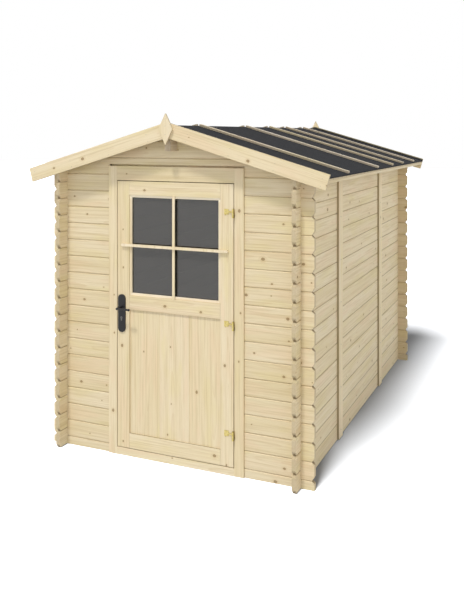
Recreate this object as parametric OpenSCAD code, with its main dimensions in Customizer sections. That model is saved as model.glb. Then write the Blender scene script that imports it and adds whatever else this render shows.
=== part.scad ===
// Garden house of interlocking log planks, with a felted gable roof and one half-glazed door.
// Millimetres, +Z up. The origin is on the ground, at the middle of the footprint, and the
// door faces -Y. The ridge runs front to back, along Y.

/* [Logs] */
// Cover height of one wall log
log_h = 117; // [112:1:121]
// Thickness of the wall logs
log_t = 28; // [22:1:40]
// How far the log ends run past the wall that they cross
log_end = 89; // [70:1:130]
// Half height of the V groove at each log joint
groove_h = 6; // [3:0.5:9]
// Depth of the V groove at each log joint
groove_d = 5; // [2:0.5:8]
// Height of the V notch between two log ends, above their joint
notch_up = 27; // [12:1:28]
// Height of the V notch between two log ends, below their joint
notch_low = 18; // [8:1:28]
// Depth of the V notch between two log ends
notch_d = 18; // [8:1:30]

/* [House] */
// Width over the outer faces of the side walls
house_w = 1802; // [1650:1:2400]
// Length over the outer faces of the front and rear walls
house_d = 2802; // [2200:1:3600]

/* [Roof] */
// Pitch of both slopes, in degrees
pitch = 16; // [12:0.5:22]
// How far the roof boards run past the side walls, level
eave_over = 212; // [150:1:300]
// Thickness of the roof boards
roof_t = 18; // [14:1:24]
// Cover width of one roof board, about
roof_board_w = 90; // [70:1:130]
// Depth and half width of the V joint under two roof boards
roof_vee = 4; // [2:0.5:6]
// Thickness of the roofing felt
felt_t = 3; // [2:0.5:4]
// How far the felt folds down over the ends of the boards at the eave
felt_fold = 4; // [3:1:10]
// Width of a batten over the felt
batten_w = 34; // [24:1:50]
// Thickness of a batten over the felt
batten_t = 16; // [10:1:22]
// How far the battens stop short of the ridge
batten_ridge = 4; // [2:1:20]
// How far the battens stop short of the eave
batten_eave = 10; // [4:1:60]
// Width of the trim under the boards at the eave
trim_w = 30; // [20:1:60]
// Height of the trim under the boards at the eave
trim_t = 18; // [12:1:28]
// Width of a bargeboard
barge_w = 100; // [85:1:130]
// Thickness of a bargeboard
barge_t = 16; // [14:1:22]
// How far a bargeboard stands above the roof boards
barge_rise = 21; // [16:1:30]
// Width of the diamond at the top of the gable
finial_w = 105; // [70:1:150]
// Height of the diamond at the top of the gable
finial_h = 208; // [150:1:260]
// How far the diamond stands above the bargeboards
finial_rise = 58; // [30:1:80]
// Thickness of the diamond
finial_t = 16; // [12:1:24]
// Width of the ridge purlin
purlin_w = 42; // [34:1:60]
// Height of the ridge purlin
purlin_h = 150; // [110:1:190]

/* [Wall battens] */
// Width of the upright battens on the side walls
brace_w = 95; // [60:1:120]
// Thickness of the upright battens
brace_t = 16; // [12:1:28]
// Distance of each upright batten from the middle of the wall
brace_off = 596; // [300:1:800]
// Gap between the battens and the ground, and the battens and the roof
brace_gap = 8; // [4:1:20]

/* [Floor] */
// Height of the floor and of the doorway's sill
floor_z = 52; // [46:1:56]
// Thickness of the floor boards
floor_t = 19; // [16:1:28]
// Cover width of one floor board, about
floor_board_w = 113; // [80:1:150]
// Depth and half width of the V joint between two floor boards
floor_vee = 2; // [1:0.5:4]
// Width of a floor joist
joist_w = 45; // [34:1:70]
// Number of floor joists
joist_n = 5; // [4:1:7]

/* [Door frame] */
// Width of the door leaf
door_w = 884; // [800:1:960]
// Height of the door leaf
door_h = 1830; // [1780:1:1850]
// Gap around the door leaf
door_gap = 5; // [5:0.5:8]
// Width of the posts on the face
post_w = 68; // [55:1:85]
// Width of the post's core, inside the log ends
post_core = 28; // [20:1:36]
// How far the frame stands proud of the wall, outside and inside
frame_proud = 11; // [8:1:26]
// Height of the header over the door
header_h = 98; // [80:1:110]
// Settling gap between the header and the log over it
settle_gap = 12; // [6:1:20]
// How far the header's lip laps the log over it, inside
header_lap = 14; // [6:1:30]

/* [Door leaf] */
// Thickness of the leaf
leaf_t = 40; // [36:1:46]
// Width of the stiles
stile_w = 95; // [85:1:110]
// Height of the top rail
top_rail_h = 94; // [70:1:110]
// Height of the middle rail
mid_rail_h = 97; // [80:1:120]
// Height of the middle rail's lower edge over the leaf's lower edge
mid_rail_up = 951; // [850:1:1000]
// Height of the bottom rail
bottom_rail_h = 102; // [80:1:130]
// Thickness of the boarded panel
panel_t = 16; // [12:1:18]
// How far the panel lies behind the stiles' face
panel_in = 10; // [6:1:12]
// How far the panel reaches into the stiles and rails
panel_lap = 8; // [5:1:12]
// Boards in the panel
panel_n = 3; // [2:1:5]
// Depth and half width of the V joint between two panel boards
panel_vee = 2.5; // [2:0.5:5]

/* [Window in the door] */
// Thickness of the pane
glass_t = 4; // [3:0.5:6]
// Width of the glazing beads
bead_w = 16; // [12:1:30]
// How far the beads lie behind the stiles' faces
bead_in = 6; // [4:0.5:9]
// Width of the upright bar
bar_w = 18; // [14:1:30]
// Thickness of the upright bar
bar_t = 8; // [6:1:12]
// How far the upright bar stands proud of the stiles
bar_out = 4; // [2:1:6]
// Height of the cross bar
cross_h = 18; // [14:1:30]
// Thickness of the cross bar, over the stiles
cross_t = 14; // [8:1:18]
// How far the cross bar laps each stile
cross_lap = 59; // [30:1:70]

/* [Handle and lock] */
// Distance of the handle from the leaf's edge
handle_in = 37; // [32:1:45]
// Height of the lever over the leaf's lower edge
lever_up = 963; // [900:1:1000]
// Drop from the lever to the lock cylinder
lock_drop = 72; // [60:1:90]
// Width of the handle plates
plate_w = 57; // [44:1:60]
// Height of the handle plates
plate_h = 260; // [230:1:280]
// Height of the plate's top over the lever
plate_up = 88; // [70:1:100]
// Thickness of the handle plates
plate_t = 8; // [6:1:10]
// Radius of the lever's bar
lever_r = 6.5; // [5:0.5:8]
// Radius of the balls at the lever's two ends
lever_ball = 8.5; // [8:0.5:10]
// Reach of the lever from its spindle
lever_l = 102; // [80:1:120]
// Distance of the lever's bar from its plate
lever_off = 55; // [40:1:58]
// Radius of the lever's neck
neck_r = 7.5; // [6:0.5:8]
// Radius of the spindle
spindle_r = 4.5; // [4:0.5:5]

/* [Hinges] */
// Heights of the hinges' centres over the leaf's lower edge
hinge_up = [206, 914, 1640];
// Distance of the pins' axis in front of the leaf
pin_off = 12.5; // [10:0.5:15]
// Radius of the knuckles
knuckle_r = 7.5; // [6:0.5:7.5]
// Radius of the pins
pin_r = 4; // [3:0.5:4.5]
// Height of the knuckle on the door
knuckle_h = 36; // [26:1:44]
// Height of the knuckle on the frame
socket_h = 20; // [16:1:34]
// Length of the hinge plate on the door, with its neck
strap_l = 68; // [50:1:85]
// Height of the hinge plate on the door
strap_h = 36; // [30:1:44]
// Length of the neck between the plate and the knuckle
neck_l = 36; // [18:1:42]
// Height of the neck between the plate and the knuckle
neck_h = 9; // [6:1:20]
// Thickness of the hinge plates
strap_t = 2.5; // [2:0.5:3]
// Depth of the hinge plate that is let into the post
jamb_l = 32; // [20:1:36]

/* [Hidden] */
$fn = 48;
// Clearance of a turning pin in its hole, on the radius
run_fit = 0.1;
// Clearance of a fixed piece in its hole, or between two knuckles
still_fit = 0.3;
// Width of the lock cylinder's web, and radii of its round and its foot
lock_web = 10;
lock_r = 8.5;
lock_h = 30;
// How far the lock cylinder stands out of its plates
lock_out = 1.5;
// Spare length of what cuts through a piece
over = 1;
// Places of the roof battens along the ridge, from the middle
batten_y = [-1057, -260, 233, 631, 1104];

half_w = house_w / 2;
half_d = house_d / 2;
end_x = half_w + log_end;
end_y = half_d + log_end;
front = -half_d;

leaf_z = floor_z + door_gap;
leaf_face = front - frame_proud;
open_w = door_w / 2 + door_gap;
open_top = leaf_z + door_h + door_gap;
frame_top = open_top + header_h;
frame_d = log_t + 2 * frame_proud;
post_out = open_w + post_w;
core_out = open_w + post_core;

// The side walls have as many whole logs as it takes to cover the door frame, all but the
// gap that is left over it.
wall_h = log_h * ceil((frame_top - settle_gap) / log_h);
apex = wall_h + half_w * tan(pitch);
top_course = ceil(apex / log_h);
lintel = log_h * (floor((frame_top + settle_gap) / log_h - 0.5) + 0.5);

slope_l = (half_w + eave_over) / cos(pitch);
barge_lo = roof_t + barge_rise - barge_w;
barge_hi = roof_t + barge_rise;
barge_top = apex + barge_hi / cos(pitch);
purlin_z = apex - purlin_h;

stile_in = door_w / 2 - stile_w;
mid_rail_z = leaf_z + mid_rail_up;
window_z = mid_rail_z + mid_rail_h;
window_top = leaf_z + door_h - top_rail_h;
pane_z = (window_z + window_top) / 2;
bead_t = (leaf_t - glass_t) / 2 - bead_in;
handle_x = handle_in - door_w / 2;
lever_z = leaf_z + lever_up;
lock_z = lever_z - lock_drop;
hinge_h = knuckle_h + socket_h;
pin_x = door_w / 2 + door_gap / 2;
pin_y = leaf_face - pin_off;

wood = [0.87, 0.79, 0.64];
wood_trim = [0.89, 0.82, 0.68];
felt_grey = [0.25, 0.25, 0.27];
black = [0.13, 0.13, 0.14];
brass = [0.80, 0.71, 0.44];
steel = [0.66, 0.66, 0.66];
pane = [0.39, 0.38, 0.37, 0.6];

// ---- Helpers ----

// Carries an outline drawn in X and Z along Y, centred.
module along_y(length) {
  rotate([90, 0, 0]) linear_extrude(length, center = true) children();
}

// Carries an outline drawn in Y and Z along X, centred.
module along_x(length) {
  rotate([90, 0, 90]) linear_extrude(length, center = true) children();
}

// Places what is drawn for the right-hand slope: X down the slope, Z out of the roof boards.
module on_slope(side) {
  mirror([side < 0 ? 1 : 0, 0, 0]) translate([0, 0, apex]) rotate([0, pitch, 0]) children();
}

module box(low, high) {
  translate(low) cube(high - low);
}

// A strip of the slope's section that starts at the ridge's upright plane.
module slope_strip(low, high, length) {
  polygon([
    [-low * tan(pitch), low], [length, low], [length, high], [-high * tan(pitch), high]
  ]);
}

// ---- Log walls ----

// Points of the V grooves up one face of a wall, at u, cut inwards by depth.
function grooves(u, depth, joint) = [
  for (k = [-1:top_course], q = [[0, -1], [depth, 0], [0, 1]])
    [u + q[0], joint + k * log_h + q[1] * groove_h]
];

function turned(list) = [for (i = [len(list) - 1:-1:0]) list[i]];

// Section through a log wall, with its outer face at 0 and its inner face at log_t.
module log_section(joint) {
  polygon(concat(grooves(0, groove_d, joint), turned(grooves(log_t, -groove_d, joint))));
}

// Face of a log wall: V notches between the log ends, and a slot at each crossing where the
// crossing wall's logs pass through, half a log high in every course.
module log_face(half_l, cross, joint, slot, low, high) {
  difference() {
    translate([-half_l, low]) square([2 * half_l, high - low]);
    for (k = [-1:top_course], m = [0, 1])
      mirror([m, 0]) translate([0, k * log_h]) {
        log_notch(half_l, joint);
        translate([cross - log_t, slot]) square([log_t, log_h / 2]);
      }
  }
}

module log_notch(x, z) {
  reach = (notch_d + over) / notch_d;
  polygon([
    [x + over, z - notch_low * reach], [x - notch_d, z], [x + over, z + notch_up * reach]
  ]);
}

// Everything below the roof boards.
module under_roof() {
  along_y(2 * end_y + over)
    polygon([
      [-end_x - over, -over], [end_x + over, -over],
      [end_x + over, apex - (end_x + over) * tan(pitch)], [0, apex],
      [-end_x - over, apex - (end_x + over) * tan(pitch)]
    ]);
}

// A front or rear wall. Its first course is half a log, so its joints lie half a log up.
module cross_wall(low, high) {
  color(wood) intersection() {
    translate([0, front + log_t / 2, 0]) along_y(log_t) difference() {
      log_face(end_x, half_w, log_h / 2, log_h / 4, low, high);
      translate([-purlin_w / 2, purlin_z]) square([purlin_w, purlin_h + over]);
      children();
    }
    along_x(2 * end_x) translate([front, 0]) log_section(log_h / 2);
    under_roof();
  }
}

// A side wall. It starts with a whole log, and its top is bevelled to the roof.
module side_wall(side) {
  color(wood) mirror([side < 0 ? 1 : 0, 0, 0]) intersection() {
    translate([half_w - log_t / 2, 0, 0]) along_x(log_t)
      log_face(end_y, half_d, 0, -log_h / 4, 0, apex);
    along_y(2 * end_y) translate([half_w, 0]) mirror([1, 0]) log_section(0);
    under_roof();
  }
}

module front_sill() {
  cross_wall(0, log_h / 2) translate([-core_out, floor_z]) square([2 * core_out, log_h]);
}

// Beside the doorway, up to the joint under the log that runs over the door.
module front_wall(side) {
  cross_wall(log_h / 2, lintel)
    translate([side < 0 ? -core_out : -2 * end_x, 0])
      square([core_out + 2 * end_x, lintel + over]);
}

module front_gable() {
  cross_wall(lintel, apex)
    translate([-post_out, 0]) square([2 * post_out, frame_top + settle_gap]);
}

module rear_wall() {
  mirror([0, 1, 0]) cross_wall(0, apex);
}

module wall_battens(side) {
  top = apex - (half_w + brace_t) * tan(pitch) - brace_gap;
  color(wood_trim) mirror([side < 0 ? 1 : 0, 0, 0])
    for (y = [-brace_off, brace_off])
      box([half_w, y - brace_w / 2, brace_gap], [half_w + brace_t, y + brace_w / 2, top]);
}

// ---- Roof ----

module ridge_purlin() {
  top = apex - still_fit;
  shoulder = top - purlin_w / 2 * tan(pitch);
  color(wood) along_y(2 * end_y)
    polygon([
      [-purlin_w / 2, purlin_z], [purlin_w / 2, purlin_z],
      [purlin_w / 2, shoulder], [0, top], [-purlin_w / 2, shoulder]
    ]);
}

module roof_boards(side) {
  count = round(2 * end_y / roof_board_w);
  step = 2 * end_y / count;
  color(wood) on_slope(side) difference() {
    along_y(2 * end_y) slope_strip(0, roof_t, slope_l);
    translate([slope_l / 2, 0, 0]) along_x(slope_l + 4 * roof_t)
      for (i = [1:count - 1]) translate([i * step - end_y, 0]) vee(roof_vee);
  }
}

// A V that cuts upwards into a face at 0, as deep as it is half wide.
module vee(size) {
  polygon([[-size - over, -over], [0, size], [size + over, -over]]);
}

// The felt folds down over the ends of the boards at the eave, and turns up inside the
// bargeboards.
module felt(side) {
  color(felt_grey) on_slope(side) {
    along_y(2 * end_y) {
      slope_strip(roof_t, roof_t + felt_t, slope_l + felt_t);
      translate([slope_l, roof_t - felt_fold]) square([felt_t, felt_fold + felt_t]);
    }
    for (end = [-1, 1])
      translate([0, end * (end_y - felt_t / 2), 0])
        along_y(felt_t) slope_strip(roof_t, barge_hi, slope_l);
  }
}

module roof_battens(side) {
  low = roof_t + felt_t;
  color(wood_trim) on_slope(side)
    for (y = batten_y)
      box([batten_ridge, y - batten_w / 2, low],
          [slope_l - batten_eave, y + batten_w / 2, low + batten_t]);
}

module eave_trim(side) {
  color(wood_trim) on_slope(side)
    box([slope_l - trim_w, -end_y, -trim_t], [slope_l, end_y, 0]);
}

module bargeboard(side, end) {
  color(wood_trim) translate([0, end * (end_y + barge_t / 2), 0]) on_slope(side)
    along_y(barge_t) slope_strip(barge_lo, barge_hi, slope_l);
}

module finial(end) {
  mid = barge_top + finial_rise - finial_h / 2;
  color(wood_trim) translate([0, end * (end_y + barge_t + finial_t / 2), 0])
    along_y(finial_t)
      polygon([
        [0, mid - finial_h / 2], [finial_w / 2, mid], [0, mid + finial_h / 2], [-finial_w / 2, mid]
      ]);
}

// ---- Floor ----

module floor_joists() {
  inner = half_w - log_t;
  step = (2 * inner - joist_w) / (joist_n - 1);
  color(wood)
    for (i = [0:joist_n - 1]) {
      x = -inner + i * step;
      box([x, front + log_t, 0], [x + joist_w, -front - log_t, floor_z - floor_t]);
    }
}

module floor_boards() {
  inner_w = half_w - log_t;
  inner_d = half_d - log_t;
  count = round(2 * inner_d / floor_board_w);
  step = 2 * inner_d / count;
  color(wood) along_x(2 * inner_w) difference() {
    translate([-inner_d, floor_z - floor_t]) square([2 * inner_d, floor_t]);
    for (i = [1:count - 1])
      translate([i * step - inner_d, floor_z]) mirror([0, 1]) vee(floor_vee);
  }
}

// ---- Door frame ----

// The post grips the log ends in a groove. Its face runs on down to the ground, over the sill.
module door_post(side) {
  color(wood_trim) mirror([side < 0 ? 1 : 0, 0, 0]) difference() {
    union() {
      box([open_w, leaf_face, 0], [post_out, front, frame_top]);
      box([open_w, front, floor_z], [post_out, leaf_face + frame_d, frame_top]);
    }
    box([core_out, front, -over], [post_out + over, front + log_t, frame_top + over]);
    if (side > 0) at_hinges() jamb_plate();
  }
}

// The lip stands behind the settling gap, so that the gap is closed to wind and light.
module door_header() {
  color(wood_trim) {
    box([-open_w, leaf_face, open_top], [open_w, leaf_face + frame_d, frame_top]);
    box([-post_out, front + log_t, frame_top],
        [post_out, leaf_face + frame_d, frame_top + settle_gap + header_lap]);
  }
}

module door_threshold() {
  color(wood_trim) box([-open_w, leaf_face, 0], [open_w, front, floor_z]);
}

// ---- Door leaf ----

// Places what is drawn for one hinge, with the pin's axis on Z and the hinge's middle at 0.
module at_hinges() {
  for (up = hinge_up) translate([pin_x, pin_y, leaf_z + up]) children();
}

// The tongue of the boarded panel, which the stiles and rails are grooved for.
module panel_body() {
  box([-stile_in - panel_lap, leaf_face + panel_in, leaf_z + bottom_rail_h - panel_lap],
      [stile_in + panel_lap, leaf_face + panel_in + panel_t, mid_rail_z + panel_lap]);
}

module leaf_part(low_x, high_x, low_z, high_z) {
  color(wood_trim) difference() {
    box([low_x, leaf_face, low_z], [high_x, leaf_face + leaf_t, high_z]);
    panel_body();
    children();
  }
}

module door_stile_lock() {
  leaf_part(-door_w / 2, -stile_in, leaf_z, leaf_z + door_h) {
    translate([handle_x, leaf_face - over, lever_z])
      rotate([-90, 0, 0]) cylinder(r = neck_r, h = leaf_t + 2 * over);
    lock_body(leaf_t + 2 * over, still_fit);
  }
}

module door_stile_hinge() {
  leaf_part(stile_in, door_w / 2, leaf_z, leaf_z + door_h);
}

module door_top_rail() {
  leaf_part(-stile_in, stile_in, window_top, leaf_z + door_h);
}

module door_middle_rail() {
  leaf_part(-stile_in, stile_in, mid_rail_z, window_z);
}

module door_bottom_rail() {
  leaf_part(-stile_in, stile_in, leaf_z, leaf_z + bottom_rail_h);
}

module door_panel() {
  half = stile_in + panel_lap;
  step = 2 * stile_in / panel_n;
  color(wood_trim) intersection() {
    panel_body();
    translate([0, leaf_face + panel_in, leaf_z]) linear_extrude(mid_rail_z)
      difference() {
        translate([-half, 0]) square([2 * half, panel_t]);
        for (i = [1:panel_n - 1])
          translate([i * step - stile_in, 0]) {
            vee(panel_vee);
            translate([0, panel_t]) mirror([0, 1]) vee(panel_vee);
          }
      }
  }
}

module door_glass() {
  mid = leaf_face + leaf_t / 2;
  color(pane)
    box([-stile_in, mid - glass_t / 2, window_z], [stile_in, mid + glass_t / 2, window_top]);
}

// One frame of beads each side of the pane.
module door_beads() {
  color(wood_trim)
    for (m = [0, 1])
      translate([0, leaf_face + bead_in + bead_t / 2 + m * (bead_t + glass_t), 0])
        along_y(bead_t) difference() {
          translate([-stile_in, window_z])
            square([2 * stile_in, window_top - window_z]);
          translate([bead_w - stile_in, window_z + bead_w])
            square([2 * (stile_in - bead_w), window_top - window_z - 2 * bead_w]);
        }
}

// The upright bar stands between the rails, in front of the beads. The cross bar is notched
// over it and laps both stiles, with round ends.
module door_bars() {
  end = stile_in + cross_lap - cross_h / 2;
  color(wood_trim) {
    box([-bar_w / 2, leaf_face - bar_out, window_z],
        [bar_w / 2, leaf_face - bar_out + bar_t, window_top]);
    translate([0, leaf_face - cross_t / 2, pane_z]) along_y(cross_t) {
      square([2 * end, cross_h], center = true);
      for (x = [-end, end]) translate([x, 0]) circle(d = cross_h);
    }
  }
}

// ---- Hinges ----

// The plate is screwed to the stile. Its cranked neck carries the upper knuckle.
module hinge_straps() {
  low = socket_h - hinge_h / 2 + still_fit;
  neck_low = low + (knuckle_h - neck_h) / 2;
  plate_low = low + (knuckle_h - strap_h) / 2;
  color(brass) at_hinges() difference() {
    union() {
      translate([0, 0, low]) cylinder(r = knuckle_r, h = knuckle_h);
      translate([0, 0, neck_low]) linear_extrude(neck_h)
        polygon([
          [-neck_l, pin_off], [-neck_l, pin_off - strap_t], [-knuckle_r, -strap_t / 2],
          [0, -strap_t / 2], [0, strap_t / 2], [-knuckle_r, strap_t / 2]
        ]);
      box([-strap_l, pin_off - strap_t, plate_low],
          [-neck_l, pin_off, plate_low + strap_h]);
    }
    translate([0, 0, low - over]) cylinder(r = pin_r + run_fit, h = knuckle_h + 2 * over);
  }
}

// The plate of a hinge that is let into the post, with its arm to the knuckle in front.
module jamb_plate() {
  x = door_gap / 2;
  box([x, 0, -hinge_h / 2], [x + strap_t, pin_off, socket_h - hinge_h / 2]);
  box([x, pin_off, -hinge_h / 2], [x + strap_t, pin_off + jamb_l, hinge_h / 2]);
}

module hinge_pins() {
  color(brass) at_hinges() {
    translate([0, 0, -hinge_h / 2]) cylinder(r = knuckle_r, h = socket_h);
    translate([0, 0, -hinge_h / 2]) cylinder(r = pin_r, h = hinge_h + pin_r);
    jamb_plate();
  }
}

// ---- Handle and lock ----

// The lock cylinder's outline: a round over a web with a round foot.
module lock_body(length, extra) {
  translate([handle_x, leaf_face + leaf_t / 2, lock_z]) along_y(length)
    lock_outline(lock_r + extra, lock_web / 2 + extra, lock_h - lock_r - lock_web / 2);
}

module lock_outline(round_r, foot_r, drop) {
  circle(r = round_r);
  translate([-foot_r, -drop]) square([2 * foot_r, drop]);
  translate([0, -drop]) circle(r = foot_r);
}

module handle_plates() {
  straight = plate_h - plate_w;
  top = lever_z + plate_up - plate_w / 2;
  color(black) difference() {
    for (m = [0, 1])
      translate([handle_x, leaf_face - plate_t / 2 + m * (leaf_t + plate_t), top])
        along_y(plate_t) {
          translate([-plate_w / 2, -straight]) square([plate_w, straight]);
          for (z = [0, -straight]) translate([0, z]) circle(d = plate_w);
        }
    translate([handle_x, leaf_face + leaf_t / 2, lever_z]) rotate([90, 0, 0])
      cylinder(r = neck_r + run_fit, h = leaf_t + 2 * plate_t + 2 * over, center = true);
    lock_body(leaf_t + 2 * plate_t + 2 * over, still_fit);
  }
}

// The bar of a lever between its two balls, along X.
module lever_bar() {
  reach = lever_l - lever_ball;
  rotate([0, 90, 0]) rotate_extrude() intersection() {
    union() {
      square([lever_r, reach]);
      for (z = [0, reach]) translate([0, z]) circle(r = lever_ball);
    }
    translate([0, -lever_ball]) square([lever_ball, reach + 2 * lever_ball]);
  }
}

// Both levers on one spindle. Each neck turns in its plate.
module lever_handle() {
  color(black) translate([handle_x, leaf_face + leaf_t / 2, lever_z]) {
    rotate([90, 0, 0]) cylinder(r = spindle_r, h = leaf_t + over, center = true);
    for (m = [0, 1]) mirror([0, m, 0]) translate([0, -leaf_t / 2, 0]) {
      rotate([90, 0, 0]) cylinder(r = neck_r, h = plate_t + lever_off);
      translate([0, -plate_t - lever_off, 0]) lever_bar();
    }
  }
}

module lock_cylinder() {
  color(steel) lock_body(leaf_t + 2 * plate_t + 2 * lock_out, 0);
}

// ---- Assembly ----

front_sill();
front_wall(-1);  // front_wall_left
front_wall(1);  // front_wall_right
front_gable();
rear_wall();
side_wall(-1);  // left_wall
side_wall(1);  // right_wall
wall_battens(-1);  // wall_battens_left
wall_battens(1);  // wall_battens_right
ridge_purlin();
roof_boards(-1);  // roof_boards_left
roof_boards(1);  // roof_boards_right
felt(-1);  // felt_left
felt(1);  // felt_right
roof_battens(-1);  // roof_battens_left
roof_battens(1);  // roof_battens_right
eave_trim(-1);  // eave_trim_left
eave_trim(1);  // eave_trim_right
bargeboard(-1, -1);  // bargeboard_front_left
bargeboard(1, -1);  // bargeboard_front_right
bargeboard(-1, 1);  // bargeboard_rear_left
bargeboard(1, 1);  // bargeboard_rear_right
finial(-1);  // finial_front
finial(1);  // finial_rear
floor_joists();
floor_boards();
door_post(-1);  // door_post_left
door_post(1);  // door_post_right
door_header();
door_threshold();
door_stile_lock();
door_stile_hinge();
door_top_rail();
door_middle_rail();
door_bottom_rail();
door_panel();
door_glass();
door_beads();
door_bars();
hinge_straps();
hinge_pins();
handle_plates();
lever_handle();
lock_cylinder();
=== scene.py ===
"""Garden house: finishes, fasteners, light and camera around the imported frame. Metres, +Z up."""

import math

import bmesh
import bpy
from mathutils import Matrix, Vector


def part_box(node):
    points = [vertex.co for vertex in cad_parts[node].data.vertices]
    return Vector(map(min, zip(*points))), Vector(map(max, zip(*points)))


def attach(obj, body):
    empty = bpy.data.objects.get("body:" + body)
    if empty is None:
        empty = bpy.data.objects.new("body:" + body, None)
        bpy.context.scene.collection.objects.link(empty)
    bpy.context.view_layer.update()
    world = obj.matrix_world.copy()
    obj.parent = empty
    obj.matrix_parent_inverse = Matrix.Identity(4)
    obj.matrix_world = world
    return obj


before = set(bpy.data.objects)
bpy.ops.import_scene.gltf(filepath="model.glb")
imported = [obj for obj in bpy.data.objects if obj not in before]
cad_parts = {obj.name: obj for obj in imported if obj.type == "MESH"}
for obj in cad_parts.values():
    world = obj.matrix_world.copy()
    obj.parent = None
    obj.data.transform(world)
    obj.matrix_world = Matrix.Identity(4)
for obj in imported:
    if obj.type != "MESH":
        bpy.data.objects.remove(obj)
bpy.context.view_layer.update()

X = Vector((1, 0, 0))
Y = Vector((0, 1, 0))
Z = Vector((0, 0, 1))

# ---- Sizes that repeat the part's source ----

LOG = 0.117  # cover height of a log
BRACE_OFF = 0.596  # of the wall battens from the middle of the wall
PITCH = math.radians(16)  # of the roof
ROOF_BOARD = 0.0903  # cover width
ROOF_BOARD_T = 0.018  # thickness
ROOF_BATTENS = (-1.057, -0.260, 0.233, 0.631, 1.104)  # along the ridge
BATTEN_TOP = 0.037  # over the underside of the roof boards, as are the next two
FELT_RIM = 0.028
BARGE_LOW = -0.061
BARGE = 0.1  # width of a bargeboard
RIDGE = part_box("roof_boards_right")[1].z - ROOF_BOARD_T / math.cos(PITCH)
FLOOR_BOARD = 0.1144  # cover width
JOIST = 0.045  # width
JOISTS = 5
PANEL_BOARDS = 3
PANEL_LAP = 0.008  # of the panel into each stile
BEAD = 0.016  # seen width of the beads round the glass
BAR = 0.018  # seen width of the bars between the panes
HINGES_UP = (0.263, 0.971, 1.697)  # Z of the hinges' middles
HINGE_PIN = 0.4445  # X of the pins
HINGE_FACE = -1.4145  # Y of the plates' faces on the door


# ---- Shader graphs ----


def linear(red, green, blue):
    """A colour given as 0 to 255 on screen, as the light that it stands for."""

    def channel(value):
        value /= 255
        return value / 12.92 if value <= 0.04045 else ((value + 0.055) / 1.055) ** 2.4

    return (channel(red), channel(green), channel(blue), 1)


class Graph:
    """Adds nodes to a tree, with values or other nodes' outputs as their inputs."""

    def __init__(self, tree):
        self.tree = tree

    def feed(self, socket, value):
        if isinstance(value, bpy.types.NodeSocket):
            self.tree.links.new(value, socket)
        else:
            socket.default_value = value

    def node(self, kind, inputs=None, **settings):
        made = self.tree.nodes.new("ShaderNode" + kind)
        for name, value in settings.items():
            setattr(made, name, value)
        for key, value in (inputs or {}).items():
            self.feed(made.inputs[key], value)
        return made

    def math(self, operation, *values):
        made = self.node("Math", dict(enumerate(values)), operation=operation)
        return made.outputs[0]

    def dot(self, first, second):
        made = self.node("VectorMath", {0: first, 1: second}, operation="DOT_PRODUCT")
        return made.outputs["Value"]

    def times(self, first, second):
        made = self.node("VectorMath", {0: first, 1: second}, operation="MULTIPLY")
        return made.outputs[0]

    def vector(self, x=0.0, y=0.0, z=0.0):
        return self.node("CombineXYZ", {0: x, 1: y, 2: z}).outputs[0]

    def place(self):
        """The three parts of a place in the piece's own frame."""
        return self.node("SeparateXYZ", {0: self.node("TexCoord").outputs["Object"]}).outputs

    def noise(self, place, scale=1.0, detail=2.0, rough=0.5):
        inputs = {"Vector": place, "Scale": scale, "Detail": detail, "Roughness": rough}
        return self.node("TexNoise", inputs).outputs["Fac"]

    def stretched(self, place, stretch, detail=2.0, rough=0.5):
        """Noise at a place in the wood, finer in each direction by its part of stretch."""
        return self.noise(self.times(place, stretch), 1.0, detail, rough)

    def away(self, first, second):
        """The length of a step of first and second, square to each other."""
        squares = self.math("ADD", self.math("POWER", first, 2.0), self.math("POWER", second, 2.0))
        return self.math("SQRT", squares)

    def ramp(self, value, low, high, to_low=0.0, to_high=1.0, smooth=True):
        """Goes from to_low to to_high while value goes from low to high."""
        inputs = {0: value, 1: low, 2: high, 3: to_low, 4: to_high}
        kind = "SMOOTHSTEP" if smooth else "LINEAR"
        return self.node("MapRange", inputs, interpolation_type=kind).outputs[0]

    def mix(self, share, first, second):
        made = self.node("Mix", data_type="RGBA")
        self.feed(made.inputs["Factor"], share)
        self.feed(made.inputs[6], first)
        self.feed(made.inputs[7], second)
        return made.outputs[2]


# ---- Timber ----

# Colours of spruce, 0 to 255 on screen.
SPRUCE = {
    "pale board": (234, 220, 190),
    "honey board": (228, 212, 176),
    "rosy board": (229, 211, 180),
    "cream board": (240, 228, 201),
    "band": (219, 202, 158),
    "rosy patch": (232, 205, 172),
    "straw patch": (226, 212, 160),
    "streak": (203, 183, 138),
    "late wood": (199, 170, 122),
    "fibre": (188, 166, 126),
    "wood round a knot": (205, 176, 128),
    "knot": (150, 124, 84),
    "knot's rim": (96, 76, 50),
    "end grain": (184, 166, 134),
    "gap": (122, 100, 66),
    "notch": (120, 104, 74),
    "notch's foot": (104, 80, 40),
    "sawn edge": (104, 88, 58),
}
APART = 37.0  # the most that two boards lie apart on the pattern
KNOT_CELL = 0.30  # a stretch of wood with one knot at most
KNOT_LONG = 1.3  # length of a knot over its width
KNOT_RADII = (0.0034, 0.0105)
KNOT_WAVER = 0.004
RING_WIDTH = 0.0043
HEART_ASIDE = 0.07  # the most that the rings' heart lies beside the middle of a board
HEART_BEHIND = (0.03, 0.09)
JOINT_LOW = 0.0014  # of the darkest line of a joint's painted shadow, under the joint
JOINT_HALF = (0.0036, 0.0012)  # half widths of its soft line and of its dark middle
NOTCH_UP = 0.020  # reach of the painted shade at a notch's foot
NOTCH_THROUGH = 0.016


def group_tree(name, given, made):
    """A new node group with sockets of the given and the made names and kinds."""
    tree = bpy.data.node_groups.new(name, "ShaderNodeTree")
    for way, sockets in (("INPUT", given), ("OUTPUT", made)):
        for kind, labels in sockets.items():
            for label in labels:
                tree.interface.new_socket(label, in_out=way, socket_type="NodeSocket" + kind)
    return tree


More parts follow.
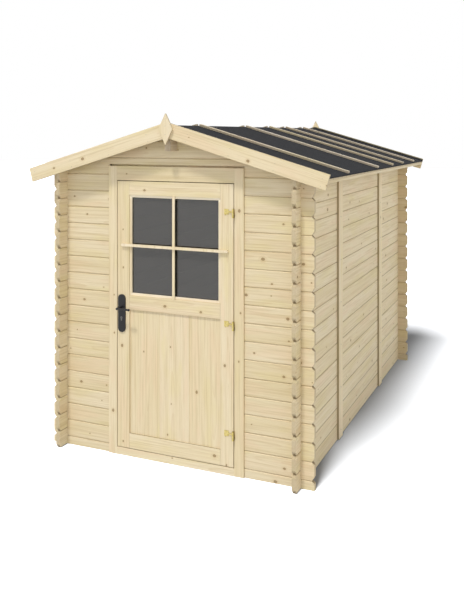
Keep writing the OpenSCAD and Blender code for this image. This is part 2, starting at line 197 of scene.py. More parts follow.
def knot_ratio(g, run, across, through, board, share):
    """Distance to the nearest knot over its radius. One place to each cell, some of them taken."""
    column = g.math("DIVIDE", run, KNOT_CELL)
    row = g.math("SUBTRACT", g.math("DIVIDE", across, board), 0.2)
    spots = g.node(
        "TexVoronoi",
        {"Vector": g.vector(column, row), "Scale": 1.0, "Randomness": 0.6},
        voronoi_dimensions="2D",
    )
    spot = g.node("SeparateXYZ", {0: spots.outputs["Position"]}).outputs
    luck = g.node("SeparateColor", {0: spots.outputs["Color"]}).outputs
    off_along = g.math("MULTIPLY", g.math("SUBTRACT", column, spot[0]), KNOT_CELL / KNOT_LONG)
    off_across = g.math("MULTIPLY", g.math("SUBTRACT", row, spot[1]), board)
    waver = g.noise(g.vector(run, across, through), 90.0)
    waver = g.math("MULTIPLY", g.math("SUBTRACT", waver, 0.5), KNOT_WAVER)
    away = g.math("ADD", g.away(off_along, off_across), waver)
    taken = g.math("LESS_THAN", luck[1], share)
    radius = g.ramp(g.math("POWER", luck[0], 2.0), 0.0, 1.0, *KNOT_RADII, False)
    return g.math("DIVIDE", away, g.math("MULTIPLY_ADD", radius, taken, 0.00001))


def late_wood(g, laid, side, through, swirl, chances):
    """The dark part of the growth rings, which lie round a heart behind or beside each board."""
    aside = g.ramp(chances[0], 0.0, 1.0, -HEART_ASIDE, HEART_ASIDE, False)
    behind = g.ramp(chances[1], 0.0, 1.0, *HEART_BEHIND, False)
    radius = g.away(g.math("SUBTRACT", side, aside), g.math("ADD", through, behind))
    radius = g.math("MULTIPLY_ADD", g.stretched(laid, (0.8, 5.0, 0.0)), 0.045, radius)
    radius = g.math("MULTIPLY_ADD", g.stretched(laid, (5.0, 45.0, 0.0)), 0.0022, radius)
    radius = g.math("MULTIPLY_ADD", swirl, 0.007, radius)
    ring = g.math("FRACT", g.math("DIVIDE", radius, RING_WIDTH))
    return g.math("MULTIPLY", g.math("POWER", ring, 3.0), g.ramp(ring, 1.0, 0.93))


def timber_group():
    """Spruce as solid wood: growth rings round a heart, streaks, knots and end grain, with painted
    shade in the joints, in notches and on edges.

    Along, Across and Through are the board's own directions. Board is the cover width of one
    board or log, Origin is where its joints start and Middle is the middle of its thickness.
    """
    tree = group_tree("timber", {
        "Vector": ("Along", "Across", "Through", "Tint"),
        "Float": ("Board", "Origin", "Middle", "Seed", "Knots", "Gap", "Grain", "Edge Shade",
                  "Notch Shade Under", "Notch Shade Over"),
    }, {"Color": ("Color",), "Float": ("Height", "Roughness")})
    g = Graph(tree)
    given = g.node("TexCoord").outputs
    inputs = tree.nodes.new("NodeGroupInput").outputs
    place = given["Object"]
    along = g.dot(place, inputs["Along"])
    across = g.math("SUBTRACT", g.dot(place, inputs["Across"]), inputs["Origin"])
    through = g.math("SUBTRACT", g.dot(place, inputs["Through"]), inputs["Middle"])
    board = inputs["Board"]

    # Each board has its own random numbers, and its own place on one long pattern.
    index = g.math("FLOOR", g.math("DIVIDE", across, board))
    chance = g.node("TexWhiteNoise", {"Vector": g.vector(index, inputs["Seed"], 0.37)}).outputs
    chances = g.node("SeparateColor", {0: chance["Color"]}).outputs
    middle = g.math("MULTIPLY", g.math("ADD", index, 0.5), board)
    side = g.math("SUBTRACT", across, middle)
    run = g.math("ADD", along, g.math("MULTIPLY", chance["Value"], APART))

    ratio = knot_ratio(g, run, across, through, board, inputs["Knots"])
    knot = g.ramp(ratio, 1.1, 0.8)
    rim = g.math("MULTIPLY", g.ramp(ratio, 0.55, 0.95), knot)
    swirl = g.ramp(ratio, 3.2, 0.6)

    # The grain, from broad bands down to single fibres.
    in_board = g.vector(run, side, through)
    in_wood = g.vector(run, across, through)
    late = late_wood(g, in_board, side, through, swirl, chances)
    band = g.stretched(in_board, (0.7, 9.0, 1.0))
    patch = g.noise(
        g.vector(g.math("MULTIPLY", run, 2.6), g.math("MULTIPLY", across, 11.0), 7.3)
    )
    streak = g.stretched(in_wood, (2.2, 90.0, 90.0), 3.0, 0.6)
    fibre = g.stretched(in_wood, (25.0, 900.0, 900.0))

    # End grain shows no knots.
    normal = given["Normal"]
    facing = g.math("ABSOLUTE", g.dot(normal, inputs["Along"]))
    end_grain = g.ramp(facing, 0.6, 0.85)
    face = g.math("SUBTRACT", 1.0, end_grain)

    # The soft shadow line between two boards, just under the joint.
    half = g.math("MULTIPLY", board, 0.5)
    below = g.math("ADD", across, JOINT_LOW)
    joint = g.math("ABSOLUTE", g.math("WRAP", below, half, g.math("MULTIPLY", half, -1.0)))

    # Painted shade in the notches of a log's end, darkest where they meet the joint, and on the
    # edges of a board.
    upward = g.dot(normal, inputs["Across"])
    oblique = g.math("MULTIPLY", g.ramp(facing, 0.3, 0.45), g.ramp(facing, 0.95, 0.88))
    foot_shade = g.math("ADD", g.math("DIVIDE", joint, NOTCH_UP),
                  g.math("DIVIDE", g.math("ABSOLUTE", through), NOTCH_THROUGH))
    foot_shade = g.math("MULTIPLY", g.ramp(foot_shade, 1.35, 0.6), oblique)
    under = g.math("MULTIPLY", g.ramp(upward, 0.1, -0.1), inputs["Notch Shade Under"])
    over = g.math("MULTIPLY", g.ramp(upward, -0.1, 0.1), inputs["Notch Shade Over"])
    shaded_edges = g.ramp(g.math("ABSOLUTE", upward), 0.85, 0.95)

    tone = linear(*SPRUCE["pale board"])
    for name, share in (
        ("honey board", chances[0]),
        ("rosy board", g.ramp(chances[1], 0.7, 1.0, 0.0, 0.5)),
        ("cream board", g.ramp(chances[2], 0.0, 1.0, 0.0, 0.35, False)),
        ("band", g.ramp(band, 0.35, 0.7, 0.0, 0.45)),
        ("rosy patch", g.ramp(patch, 0.52, 0.68, 0.0, 0.35)),
        ("straw patch", g.ramp(patch, 0.48, 0.32, 0.0, 0.45)),
        ("streak", g.math("MULTIPLY", g.ramp(streak, 0.42, 0.72), inputs["Grain"])),
        ("late wood", g.math("MULTIPLY", late, 0.28)),
        ("fibre", g.ramp(fibre, 0.45, 0.8, 0.0, 0.18)),
        ("wood round a knot", g.ramp(swirl, 0.0, 1.0, 0.0, 0.3)),
        ("knot", g.math("MULTIPLY", knot, g.math("MULTIPLY", face, 0.8))),
        ("knot's rim", g.math("MULTIPLY", rim, g.math("MULTIPLY", face, 0.4))),
        ("end grain", g.math("MULTIPLY", end_grain, 0.6)),
        ("gap", g.math("MULTIPLY", g.ramp(joint, *JOINT_HALF), inputs["Gap"])),
        # Painted shade on the oblique faces of the notches, and at their foot.
        ("notch", g.math("MULTIPLY", oblique, g.ramp(upward, -0.1, 0.1, 0.0, 0.35))),
        ("notch's foot", g.math("MULTIPLY", foot_shade, g.math("ADD", under, over))),
        # Painted shade on the edges of a board, the faces that face across it.
        ("sawn edge", g.math("MULTIPLY", shaded_edges, inputs["Edge Shade"])),
    ):
        tone = g.mix(share, tone, linear(*SPRUCE[name]))

    out = tree.nodes.new("NodeGroupOutput").inputs
    height = g.math("MULTIPLY_ADD", late, -0.5, fibre)
    g.feed(out["Color"], g.times(tone, inputs["Tint"]))
    g.feed(out["Height"], g.math("MULTIPLY_ADD", knot, 0.6, height))
    g.feed(out["Roughness"], g.ramp(streak, 0.2, 0.8, 0.58, 0.74, False))
    return tree


TIMBER = timber_group()

# Tints of the wood.
PLAIN = (1.0, 1.0, 1.0)
PALE = (1.05, 1.05, 1.06)
CREAM = (1.14, 1.16, 1.26)
# A darker, greyer tone, used for the roof battens.
GREYISH = (0.85, 0.87, 1.0)
# A grey painted shade, for the ridge purlin's end in the overhang's shadow.
GREY_SHADE = (0.85, 0.84, 0.90)
SHADED = (0.90, 0.875, 0.84)


def surface(name, color=(1, 1, 1, 1), roughness=0.5, metallic=0.0, specular=0.5):
    """A new material with a Principled shader, and the graph that it can be fed from."""
    material = bpy.data.materials.new(name)
    material.use_nodes = True
    shader = material.node_tree.nodes["Principled BSDF"]
    shader.inputs["Base Color"].default_value = color
    shader.inputs["Roughness"].default_value = roughness
    shader.inputs["Metallic"].default_value = metallic
    shader.inputs["Specular IOR Level"].default_value = specular
    return material, Graph(material.node_tree), shader


seeds = iter(range(1, 1000))


def spruce(
    g, along, across, middle, board=0.5, origin=-0.25,
    knots=0.3, gap=0.0, grain=0.55, edge=0.0, notch=(0.0, 0.0), tint=PLAIN,
):
    """The timber group, set for one direction of the grain.

    Board and origin are as in the group. The others are shares: of knots, of painted shadow in the
    joints, of streaks along the grain, and of painted shade on the edges and in the notches.
    """
    group = g.node("Group", node_tree=TIMBER)
    along = Vector(along).normalized()
    across = Vector(across).normalized()
    through = along.cross(across)
    for key, value in (
        ("Along", along), ("Across", across), ("Through", through),
        ("Board", board), ("Origin", origin), ("Middle", through.dot(middle)),
        ("Seed", next(seeds) * 1.7), ("Knots", knots), ("Gap", gap), ("Grain", grain),
        ("Edge Shade", edge), ("Notch Shade Under", notch[0]), ("Notch Shade Over", notch[1]), ("Tint", tint),
    ):
        group.inputs[key].default_value = value
    return group.outputs


def finish_timber(g, shader, color, height, roughness):
    """Feeds the shader of a timber material, with the grain as fine relief."""
    bump = g.node("Bump", {"Strength": 0.25, "Distance": 0.0008, "Height": height})
    g.feed(shader.inputs["Base Color"], color)
    g.feed(shader.inputs["Roughness"], roughness)
    g.feed(shader.inputs["Normal"], bump.outputs[0])


def timber(name, along, across, middle, **options):
    """A spruce material whose grain runs along, with joints across it where it has boards."""
    material, g, shader = surface(name, specular=0.3)
    wood = spruce(g, along, across, middle, **options)
    finish_timber(g, shader, wood["Color"], wood["Height"], wood["Roughness"])
    return material


# Other colours.
HEAD_LIT = linear(255, 246, 222)
MITRE_DARK = linear(110, 88, 56)
FELT_DARK = linear(34, 35, 37)
FELT_PALE = linear(49, 50, 54)
FELT_CLOUD = linear(39, 39, 41)
FELT_RIM_PALE = linear(150, 142, 116)
GLASS_CLEAR = linear(140, 138, 135)
PANE_SHADE_COLOUR = linear(30, 24, 16)
BRASS_PALE = linear(234, 216, 146)
BRASS_DEEP = linear(215, 194, 116)
BRASS_SHADE = linear(126, 110, 50)
BLACK_COAT = linear(26, 26, 28)
STEEL_GREY = linear(120, 118, 114)
ZINC_GREY = linear(150, 150, 146)

MITRE_HALF = (0.0009, 0.0003)  # half widths of a mitre's soft line and of its dark middle
PALE_HEAD = (0.030, 0.020)  # depths under the top of the beads between which painted light turns them paler
PANE_SHADE_WIDTH = 0.004  # width of the painted dark line seen round each pane, for shade and dark reflections
PANE_SHADE_SOFT = 0.001


def mitred_timber(name, middle, half, tint):
    """Spruce whose grain runs across above and below the corners' mitres, and upright beside."""
    material, g, shader = surface(name, specular=0.3)
    level = spruce(g, X, Z, middle, origin=middle.z - 0.25, knots=0.0, tint=tint)
    upright = spruce(g, Z, X, middle, knots=0.0, tint=tint)
    place = g.place()
    from_side = g.math("SUBTRACT", half.x, g.math("ABSOLUTE", place[0]))
    from_end = g.math("ABSOLUTE", g.math("SUBTRACT", place[2], middle.z))
    from_end = g.math("SUBTRACT", half.z, from_end)
    side = g.math("LESS_THAN", from_side, from_end)
    mitre = g.math("ABSOLUTE", g.math("SUBTRACT", from_side, from_end))
    color = g.mix(side, level["Color"], upright["Color"])
    low, high = (middle.z + half.z - down for down in PALE_HEAD)
    # Painted light on the head bead, against the shadow that the top rail casts on it.
    color = g.mix(g.ramp(place[2], low, high, 0.0, 0.7), color, HEAD_LIT)
    color = g.mix(g.ramp(mitre, *MITRE_HALF, 0.0, 0.5), color, MITRE_DARK)
    finish_timber(g, shader, color, level["Height"], level["Roughness"])
    return material


def felt_material():
    """Bitumen felt with fine slate granules, paler at the rims that are turned up."""
    material, g, shader = surface("felt", roughness=0.9, specular=0.1)
    place = g.node("TexCoord").outputs["Object"]
    granules = g.node("TexVoronoi", {"Vector": place, "Scale": 420.0}).outputs
    chance = g.node("SeparateColor", {0: granules["Color"]}).outputs[0]
    cloud = g.noise(place, 5.0, 4.0, 0.6)
    tone = g.mix(g.ramp(chance, 0.0, 1.0), FELT_DARK, FELT_PALE)
    tone = g.mix(g.ramp(cloud, 0.35, 0.7, 0.0, 0.5), tone, FELT_CLOUD)
    part = g.place()
    height = g.math("MULTIPLY", g.math("ABSOLUTE", part[0]), math.sin(PITCH))
    height = g.math("MULTIPLY_ADD", part[2], math.cos(PITCH), height)
    height = g.math("SUBTRACT", height, RIDGE * math.cos(PITCH))
    # Paler at the rims that are turned up.
    pale_rim = g.ramp(height, FELT_RIM, FELT_RIM + 0.005, 0.0, 0.9)
    tone = g.mix(pale_rim, tone, FELT_RIM_PALE)
    bump = g.node("Bump", {"Strength": 0.5, "Distance": 0.001, "Height": granules["Distance"]})
    g.feed(shader.inputs["Base Color"], tone)
    g.feed(shader.inputs["Normal"], bump.outputs[0])
    return material


def glass_material():
    """Clear glass with a painted dark line round each pane, for the shade and dark reflections
    along the beads and bars.
    """
    material, g, shader = surface("glass", roughness=0.0, specular=1.0)
    place = g.place()
    bars = centre("door_bars")
    low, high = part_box("door_beads")
    half = (high - low) / 2 - Vector((BEAD, 0, BEAD))
    aside = g.math("ABSOLUTE", g.math("SUBTRACT", place[0], bars.x))
    above = g.math("ABSOLUTE", g.math("SUBTRACT", place[2], bars.z))
    bar_side = BAR / 2 + PANE_SHADE_WIDTH
    pane_shade = 0.0
    for away, reach in ((aside, half.x - PANE_SHADE_WIDTH), (above, half.z - PANE_SHADE_WIDTH)):
        at_bar = g.ramp(away, bar_side, bar_side - PANE_SHADE_SOFT)
        at_bead = g.ramp(away, reach, reach + PANE_SHADE_SOFT)
        pane_shade = g.math("MAXIMUM", pane_shade, g.math("MAXIMUM", at_bar, at_bead))
    # Painted shade and dark reflection along the beads and the bars.
    g.feed(shader.inputs["Base Color"], g.mix(pane_shade, GLASS_CLEAR, PANE_SHADE_COLOUR))
    shader.inputs["IOR"].default_value = 1.55
    shader.inputs["Transmission Weight"].default_value = 0.8
    return material


def brass_material():
    """Steel with a yellow passivated zinc coat, with painted shade and dark reflection on tops and
    on faces towards +X.
    """
    material, g, shader = surface("brass", roughness=0.35, metallic=0.75)
    given = g.node("TexCoord").outputs
    normal = g.node("SeparateXYZ", {0: given["Normal"]}).outputs
    # Painted shade and dark reflection on faces towards +X and on tops.
    edge = g.ramp(g.math("MAXIMUM", normal[0], normal[2]), 0.45, 0.85, 0.0, 0.85)
    cloud = g.noise(given["Object"], 60.0, 3.0, 0.6)
    tone = g.mix(g.ramp(cloud, 0.3, 0.7), BRASS_PALE, BRASS_DEEP)
    tone = g.mix(edge, tone, BRASS_SHADE)
    g.feed(shader.inputs["Base Color"], tone)
    g.feed(shader.inputs["Roughness"], g.ramp(cloud, 0.3, 0.7, 0.30, 0.45))
    return material


def black_material():
    """Black powder coat, with its fine orange peel."""
    material, g, shader = surface("black_metal", BLACK_COAT, 0.42)
    peel = g.noise(g.node("TexCoord").outputs["Object"], 900.0)
    bump = g.node("Bump", {"Strength": 0.3, "Distance": 0.0003, "Height": peel})
    g.feed(shader.inputs["Normal"], bump.outputs[0])
    return material


def steel_material(name, color, low, high):
    """Plated steel, brushed one way, with a roughness from low to high."""
    material, g, shader = surface(name, color, metallic=1.0)
    brush = g.noise(g.times(g.node("TexCoord").outputs["Object"], (2000.0, 60.0, 2000.0)))
    g.feed(shader.inputs["Roughness"], g.ramp(brush, 0.3, 0.7, low, high))
    return material


# ---- Finishes of the frame's nodes ----


def centre(node):
    low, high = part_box(node)
    return (low + high) / 2


def dress(node, material):
    """Gives a CAD node its material."""
    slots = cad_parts[node].material_slots
    for slot in slots:
        slot.material = material
    if not slots:
        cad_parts[node].data.materials.append(material)


def dress_timber(node, along, across, **options):
    dress(node, timber(node, along, across, centre(node), **options))


def down_slope(side):
    """The direction down a slope of the roof, and the one square to it, out of the roof."""
    down = Vector((side * math.cos(PITCH), 0, -math.sin(PITCH)))
    out = Vector((side * math.sin(PITCH), 0, math.cos(PITCH)))
    return down, out


def dress_walls():
    for node in ("front_sill", "front_wall_left", "front_wall_right", "front_gable", "rear_wall"):
        # The rear wall gets a painted shade.
        tint = SHADED if node == "rear_wall" else PLAIN
        dress_timber(node, X, Z, origin=-LOG / 2, board=LOG, knots=0.7, gap=0.35,
                     notch=(0.0, 0.6), tint=tint)
    for node in ("left_wall", "right_wall"):
        dress_timber(node, Y, Z, origin=0.0, board=LOG, knots=0.4, gap=0.5, notch=(0.7, 0.0))
    for node in ("wall_battens_left", "wall_battens_right"):
        dress_timber(node, Z, Y, knots=0.4, board=0.2, edge=0.6, grain=0.4, tint=PALE)
    dress_timber("floor_joists", Y, X, board=0.2)
    dress_timber("floor_boards", X, Y, board=FLOOR_BOARD, origin=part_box("floor_boards")[0].y,
                 gap=1.0)


def dress_roof():
    # Painted shade on the ridge purlin.
    dress_timber("ridge_purlin", Y, Z, board=0.2, origin=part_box("ridge_purlin")[0].z,
                 tint=GREY_SHADE)
    felt = felt_material()
    for side, name in ((-1, "left"), (1, "right")):
        down, out = down_slope(side)
        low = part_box("roof_boards_" + name)[0].y
        dress_timber("roof_boards_" + name, down, Y, board=ROOF_BOARD, origin=low, gap=1.0)
        dress_timber("roof_battens_" + name, down, Y, board=0.1, origin=-5.0, knots=0.0,
                     grain=0.4, edge=0.5, tint=GREYISH)
        dress_timber("eave_trim_" + name, Y, down)
        dress("felt_" + name, felt)
        for end in ("front", "rear"):
            dress_timber(f"bargeboard_{end}_{name}", down, out, board=BARGE, knots=0.5,
                         origin=RIDGE * math.cos(PITCH) + BARGE_LOW, edge=0.4, tint=PALE)
    for end in ("front", "rear"):
        dress_timber("finial_" + end, Z, X, board=0.2, origin=-0.1, knots=0.0, grain=0.2,
                     tint=PALE)


def dress_door():
    for node in ("door_post_left", "door_post_right", "door_stile_lock", "door_stile_hinge"):
        dress_timber(node, Z, X, board=0.15, origin=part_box(node)[0].x, knots=0.3,
                     edge=0.15, tint=PALE)
    for node in ("door_header", "door_threshold", "door_top_rail", "door_middle_rail",
                 "door_bottom_rail"):
        edge = 0.7 if node == "door_bottom_rail" else 0.1
        # The header keeps the plain tint, a painted shade against the paler door timber.
        tint = PLAIN if node == "door_header" else PALE
        dress_timber(node, X, Z, board=0.15, origin=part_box(node)[0].z, knots=0.3,
                     edge=edge, tint=tint)
    low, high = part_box("door_panel")
    width = (high.x - low.x - 2 * PANEL_LAP) / PANEL_BOARDS
    dress_timber("door_panel", Z, X, board=width, origin=low.x + PANEL_LAP, knots=0.55,
                 tint=PALE)
    low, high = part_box("door_beads")
    dress("door_beads", mitred_timber("door_beads", (low + high) / 2, (high - low) / 2, CREAM))
    upright = Vector((BAR / 2, 0, 1.0))
    dress("door_bars", mitred_timber("door_bars", centre("door_bars"), upright, CREAM))
    dress("door_glass", glass_material())
    for node in ("hinge_straps", "hinge_pins"):
        dress(node, BRASS)
    for node in ("handle_plates", "lever_handle"):
        dress(node, BLACK)
    dress("lock_cylinder", steel_material("steel", STEEL_GREY, 0.3, 0.5))


BRASS = brass_material()
BLACK = black_material()
ZINC = steel_material("zinc", ZINC_GREY, 0.35, 0.5)
dress_walls()
dress_roof()
dress_door()


# ---- Fasteners ----

SUNK = 0.0004  # of the underside of a head, below the surface
HEAD_SIDES = 12
ENDS = (("front", 0, -Y), ("rear", 1, Y))  # name, corner of a box, and way out

# Radii of heads.
BATTEN_SCREW = 0.0042
BRACE_SCREW = 0.0036
HINGE_SCREW = 0.0032
PLATE_SCREW = 0.0034
BARGE_NAIL = 0.0018
FLOOR_NAIL = 0.0026

# Numbers of heads in a row, and how far the first and last are from the piece's ends.
BATTEN_ROW, BATTEN_ENDS = 5, 0.06
BARGE_ROW, BARGE_START, BARGE_END = 4, 0.16, 0.05
BRACE_ROW, BRACE_ENDS = 7, LOG / 2

# Places of heads.
BARGE_NAILS_UP = (-0.045, 0.003)  # from the underside of the roof boards
FINIAL_NAILS_UP = (-0.035, 0.02)  # from the middle of the diamond
HINGE_SCREWS = ((0.060, 0.010), (0.060, -0.010), (0.043, 0.0))  # aside of the pin, and up
PLATE_SCREWS_IN = 0.014  # from a handle plate's ends
KEYHOLE_DOWN = 0.009  # from the top of the lock cylinder
KEYHOLE = (0.0022, 0.0085)  # width and height


def ring(mesh, radius, height):
    turns = [2 * math.pi * index / HEAD_SIDES for index in range(HEAD_SIDES)]
    return [
        mesh.verts.new((radius * math.cos(turn), radius * math.sin(turn), height))
        for turn in turns
    ]


def loft(mesh, *rings):
    """Faces between rings of as many vertices each."""
    for lower, upper in zip(rings, rings[1:]):
        for index in range(len(lower)):
            after = (index + 1) % len(lower)
            mesh.faces.new((lower[index], lower[after], upper[after], upper[index]))


def taken_from(mesh):
    """The vertices and faces of a finished head, all faces outward."""
    bmesh.ops.recalc_face_normals(mesh, faces=mesh.faces)
    mesh.verts.index_update()
    points = [vertex.co.copy() for vertex in mesh.verts]
    faces = [[vertex.index for vertex in face.verts] for face in mesh.faces]
    mesh.free()
    return points, faces


def nail_head(radius):
    """A low dome."""
    mesh = bmesh.new()
    rings = [
        ring(mesh, radius, -SUNK),
        ring(mesh, radius * 0.95, radius * 0.15),
        ring(mesh, radius * 0.55, radius * 0.32),
    ]
    loft(mesh, *rings)
    mesh.faces.new(rings[0])
    mesh.faces.new(rings[-1])
    return taken_from(mesh)


def screw_head(radius):
    """A low head with a cross recess."""
    mesh = bmesh.new()
    top = radius * 0.32
    rings = [
        ring(mesh, radius, -SUNK),
        ring(mesh, radius, radius * 0.14),
        ring(mesh, radius * 0.82, top),
    ]
    loft(mesh, *rings)
    mesh.faces.new(rings[0])
    arm = radius * 0.56
    wide = radius * 0.15
    corners = []
    for way in range(4):
        turn = Matrix.Rotation(way * math.pi / 2, 2)
        corners += [turn @ Vector(corner) for corner in ((wide, wide), (wide, arm), (-wide, arm))]
    mouth = [mesh.verts.new((x, y, top)) for x, y in corners]
    pit = [mesh.verts.new((x * 0.8, y * 0.8, 0.0)) for x, y in corners]
    loft(mesh, mouth, pit)
    mesh.faces.new(pit)
    rims = [
        mesh.edges.get((loop[index - 1], loop[index]))
        for loop in (rings[-1], mouth) for index in range(len(loop))
    ]
    bmesh.ops.triangle_fill(mesh, edges=rims, use_beauty=True, normal=Z)
    return taken_from(mesh)


def keyhole(width, height):
    """A slot with round ends, standing upright once it faces out of a door."""
    mesh = bmesh.new()
    outline = []
    for index in range(HEAD_SIDES):
        turn = 2 * math.pi * (index + 0.5) / HEAD_SIDES
        along = math.copysign((height - width) / 2, math.sin(turn))
        outline.append((math.cos(turn) * width / 2, math.sin(turn) * width / 2 + along))
    loops = [[mesh.verts.new((x, y, z)) for x, y in outline] for z in (-SUNK, SUNK)]
    loft(mesh, *loops)
    for loop in loops:
        mesh.faces.new(loop)
    return taken_from(mesh)


def fasten(name, head, places, body, material):
    """One piece of all the heads at the given places, each a point and the way out there."""
    points, faces = head
    all_points, all_faces = [], []
    for place, out in places:
        base = len(all_points)
        turn = out.to_track_quat("Z", "Y").to_matrix()
        all_points += [place + turn @ point for point in points]
        all_faces += [[base + index for index in face] for face in faces]
    mesh = bpy.data.meshes.new(name)
    mesh.from_pydata(all_points, [], all_faces)
    mesh.materials.append(material)
    piece = bpy.data.objects.new(name, mesh)
    bpy.context.scene.collection.objects.link(piece)
    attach(piece, body)


def spread(low, high, count):
    """Evenly spaced numbers from low to high, both among them."""
    return [low + (high - low) * index / (count - 1) for index in range(count)]


def fasten_roof():
    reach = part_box("felt_right")[1].x / math.cos(PITCH)
    ridge = Z * RIDGE
    screws, nails = [], []
    for side in (-1, 1):
        down, out = down_slope(side)
        for along in ROOF_BATTENS:
            for fall in spread(BATTEN_ENDS, reach - BATTEN_ENDS, BATTEN_ROW):
                screws.append((ridge + Y * along + down * fall + out * BATTEN_TOP, out))
        for end, corner, way in ENDS:
            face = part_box(f"bargeboard_{end}_right")[corner].y
            for fall in spread(BARGE_START, reach - BARGE_END, BARGE_ROW):
                for up in BARGE_NAILS_UP:
                    nails.append((ridge + Y * face + down * fall + out * up, way))
    for end, corner, way in ENDS:
        middle = centre("finial_" + end)
        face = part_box("finial_" + end)[corner].y
        for up in FINIAL_NAILS_UP:
            nails.append((Vector((middle.x, face, middle.z + up)), way))
    fasten("batten_screws", screw_head(BATTEN_SCREW), screws, "house", ZINC)
    fasten("bargeboard_nails", nail_head(BARGE_NAIL), nails, "house", ZINC)


def fasten_walls():
    screws = []
    for side, name in ((-1, "wall_battens_left"), (1, "wall_battens_right")):
        low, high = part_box(name)
        face = high.x if side > 0 else low.x
        for up in spread(low.z + BRACE_ENDS, high.z - BRACE_ENDS, BRACE_ROW):
            for along in (-BRACE_OFF, BRACE_OFF):
                screws.append((Vector((face, along, up)), X * side))
    fasten("wall_batten_screws", screw_head(BRACE_SCREW), screws, "house", ZINC)


def fasten_floor():
    low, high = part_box("floor_boards")
    first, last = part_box("floor_joists")
    count = round((high.y - low.y) / FLOOR_BOARD)
    nails = []
    for x in spread(first.x + JOIST / 2, last.x - JOIST / 2, JOISTS):
        for index in range(count):
            nails.append((Vector((x, low.y + (index + 0.5) * FLOOR_BOARD, high.z)), Z))
    fasten("floor_nails", nail_head(FLOOR_NAIL), nails, "house", ZINC)


def both_faces(node, *heights):
    """Places on the front and rear faces of a node of the door, at its middle, and the way out."""
    low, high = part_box(node)
    x = (low.x + high.x) / 2
    return [(Vector((x, face, z)), way) for face, way in ((low.y, -Y), (high.y, Y))
            for z in heights]


def fasten_door():
    screws = [
        (Vector((HINGE_PIN - aside, HINGE_FACE, middle + up)), -Y)
        for middle in HINGES_UP for aside, up in HINGE_SCREWS
    ]
    fasten("hinge_screws", screw_head(HINGE_SCREW), screws, "door", BRASS)
    low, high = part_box("handle_plates")
    screws = both_faces("handle_plates", low.z + PLATE_SCREWS_IN, high.z - PLATE_SCREWS_IN)
    fasten("handle_screws", screw_head(PLATE_SCREW), screws, "door", BLACK)
    slots = both_faces("lock_cylinder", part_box("lock_cylinder")[1].z - KEYHOLE_DOWN)
    fasten("keyholes", keyhole(*KEYHOLE), slots, "door", BLACK)


fasten_roof()
fasten_walls()
fasten_floor()
fasten_door()


# ---- Softened edges ----


def soften(width, *nodes):
    """Rounds the sharp edges of CAD nodes, as planed timber and pressed metal have them."""
    for node in nodes:
        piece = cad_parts[node]
        weld = piece.modifiers.new("weld", "WELD")
        weld.merge_threshold = 0.00002
        bevel = piece.modifiers.new("bevel", "BEVEL")
        bevel.width = width
        bevel.segments = 2
        bevel.limit_method = "ANGLE"
        bevel.angle_limit = math.radians(35)


def soften_all():
    planed = (
        "wall_battens", "roof_battens", "eave_trim", "bargeboard", "finial", "door_post",
        "door_header", "door_threshold", "door_stile", "door_top_rail", "door_middle_rail",
        "door_bottom_rail",
    )
    soften(0.002, *[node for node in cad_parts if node.startswith(planed)])
    soften(0.0015, "door_beads", "door_bars", "handle_plates")
    soften(0.0006, "hinge_straps")


soften_all()


# ---- Floor, light and camera ----

FLOOR_SIZE = 80.0
FLOOR_BOUNCE = 0.07  # of the light that falls on the floor
FLOOR_SEEN = (0.216, 0.219, 0.225, 1)  # its colour for the camera
FLOOR_GLOW = 0.05  # in the deepest shadow, for the camera alone
SUN_TRAVEL = Vector((0.20, 1.0, -2.1))
SUN_SPREAD = math.radians(7)
SUN_STRENGTH = 2.11
SUN_COLOR = (1.0, 0.98, 0.94)
FLOOR_SUN_TRAVEL = Vector((0.14, 1.02, -1.74))
FLOOR_SUN_SPREAD = math.radians(22)
FLOOR_SUN_STRENGTH = 30.0
SKY_OVERHEAD = 0.25
SKY_HORIZON = 1.46
SKY_FALL = 2.0  # how quickly it darkens from the horizon up
SKY_SIDE = 0.24  # brighter towards +X

CAMERA_PLACE = (2.4414, -5.6128, 2.2085)
CAMERA_YAW = math.radians(21.75)
CAMERA_LENS = 43.17
CAMERA_SHIFT = (-0.08, -0.2762)


def mirror_rays(g):
    """1 for the rays by which metal and glass see their surroundings, and all kinds of ray."""
    rays = g.node("LightPath").outputs
    mirrored = g.math("MAXIMUM", rays["Is Glossy Ray"], rays["Is Transmission Ray"])
    return mirrored, rays


def make_floor():
    """A floor that is white to the camera but for the object's shadow, and white in mirrors."""
    bpy.ops.mesh.primitive_plane_add(size=FLOOR_SIZE)
    floor = bpy.context.object
    floor.name = "floor"
    material, g, shader = surface("floor", roughness=1.0, specular=0.0)
    mirrored, rays = mirror_rays(g)
    bounced = (FLOOR_BOUNCE, FLOOR_BOUNCE, FLOOR_BOUNCE, 1)
    g.feed(shader.inputs["Base Color"], g.mix(rays["Is Camera Ray"], bounced, FLOOR_SEEN))
    shader.inputs["Emission Color"].default_value = (1, 1, 1, 1)
    g.feed(shader.inputs["Emission Strength"],
           g.math("MULTIPLY", rays["Is Camera Ray"], FLOOR_GLOW))
    glow = g.node("Emission", {"Color": (1, 1, 1, 1), "Strength": 1.0})
    both = g.node("MixShader", {0: mirrored, 1: shader.outputs[0], 2: glow.outputs[0]})
    output = material.node_tree.nodes["Material Output"]
    g.feed(output.inputs["Surface"], both.outputs[0])
    floor.data.materials.append(material)
    return floor


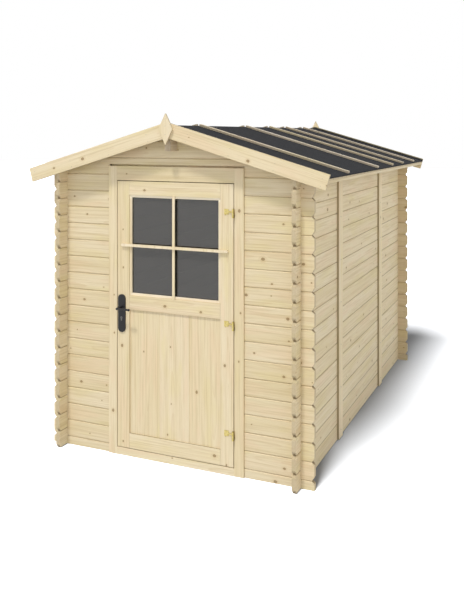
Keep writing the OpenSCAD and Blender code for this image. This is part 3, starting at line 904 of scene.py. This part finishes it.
def make_sky():
    """Soft light, stronger from the horizon than from overhead, and plain white when seen."""
    world = bpy.data.worlds.new("sky")
    bpy.context.scene.world = world
    world.use_nodes = True
    g = Graph(world.node_tree)
    mirrored, rays = mirror_rays(g)
    seen = g.math("MAXIMUM", mirrored, rays["Is Camera Ray"])
    way = g.node("SeparateXYZ", {0: g.node("TexCoord").outputs["Generated"]}).outputs
    low = g.math("POWER", g.ramp(way[2], 0.0, 1.0, 1.0, 0.0, False), SKY_FALL)
    light = g.math("MULTIPLY_ADD", low, SKY_HORIZON, SKY_OVERHEAD)
    light = g.math("MULTIPLY", light, g.math("MULTIPLY_ADD", way[0], SKY_SIDE, 1.0))
    strength = g.math("ADD", g.math("MULTIPLY", g.math("SUBTRACT", 1.0, seen), light), seen)
    background = world.node_tree.nodes["Background"]
    background.inputs["Color"].default_value = (1, 1, 1, 1)
    g.feed(background.inputs["Strength"], strength)


def make_sun(name, travel, strength, color, spread, piece, state):
    """A soft sun that lights only the given piece, or everything else."""
    lamp = bpy.data.lights.new(name, "SUN")
    lamp.energy = strength
    lamp.color = color
    lamp.angle = spread
    sun = bpy.data.objects.new(name, lamp)
    sun.rotation_mode = "QUATERNION"
    sun.rotation_quaternion = travel.to_track_quat("-Z", "Y")
    bpy.context.scene.collection.objects.link(sun)
    linked = bpy.data.collections.new(name + "_link")
    linked.objects.link(piece)
    linked.collection_objects[0].light_linking.link_state = state
    sun.light_linking.receiver_collection = linked


def make_camera():
    lens = bpy.data.cameras.new("camera")
    lens.lens = CAMERA_LENS
    lens.sensor_width = 36.0
    lens.shift_x, lens.shift_y = CAMERA_SHIFT
    camera = bpy.data.objects.new("camera", lens)
    camera.location = CAMERA_PLACE
    camera.rotation_euler = (math.radians(90), 0, CAMERA_YAW)
    bpy.context.scene.collection.objects.link(camera)
    bpy.context.scene.camera = camera


floor = make_floor()
make_sky()
make_sun("sun", SUN_TRAVEL, SUN_STRENGTH, SUN_COLOR, SUN_SPREAD, floor, "EXCLUDE")
make_sun("floor_sun", FLOOR_SUN_TRAVEL, FLOOR_SUN_STRENGTH, (1, 1, 1), FLOOR_SUN_SPREAD,
         floor, "INCLUDE")
make_camera()
bpy.context.scene.view_settings.view_transform = "Standard"
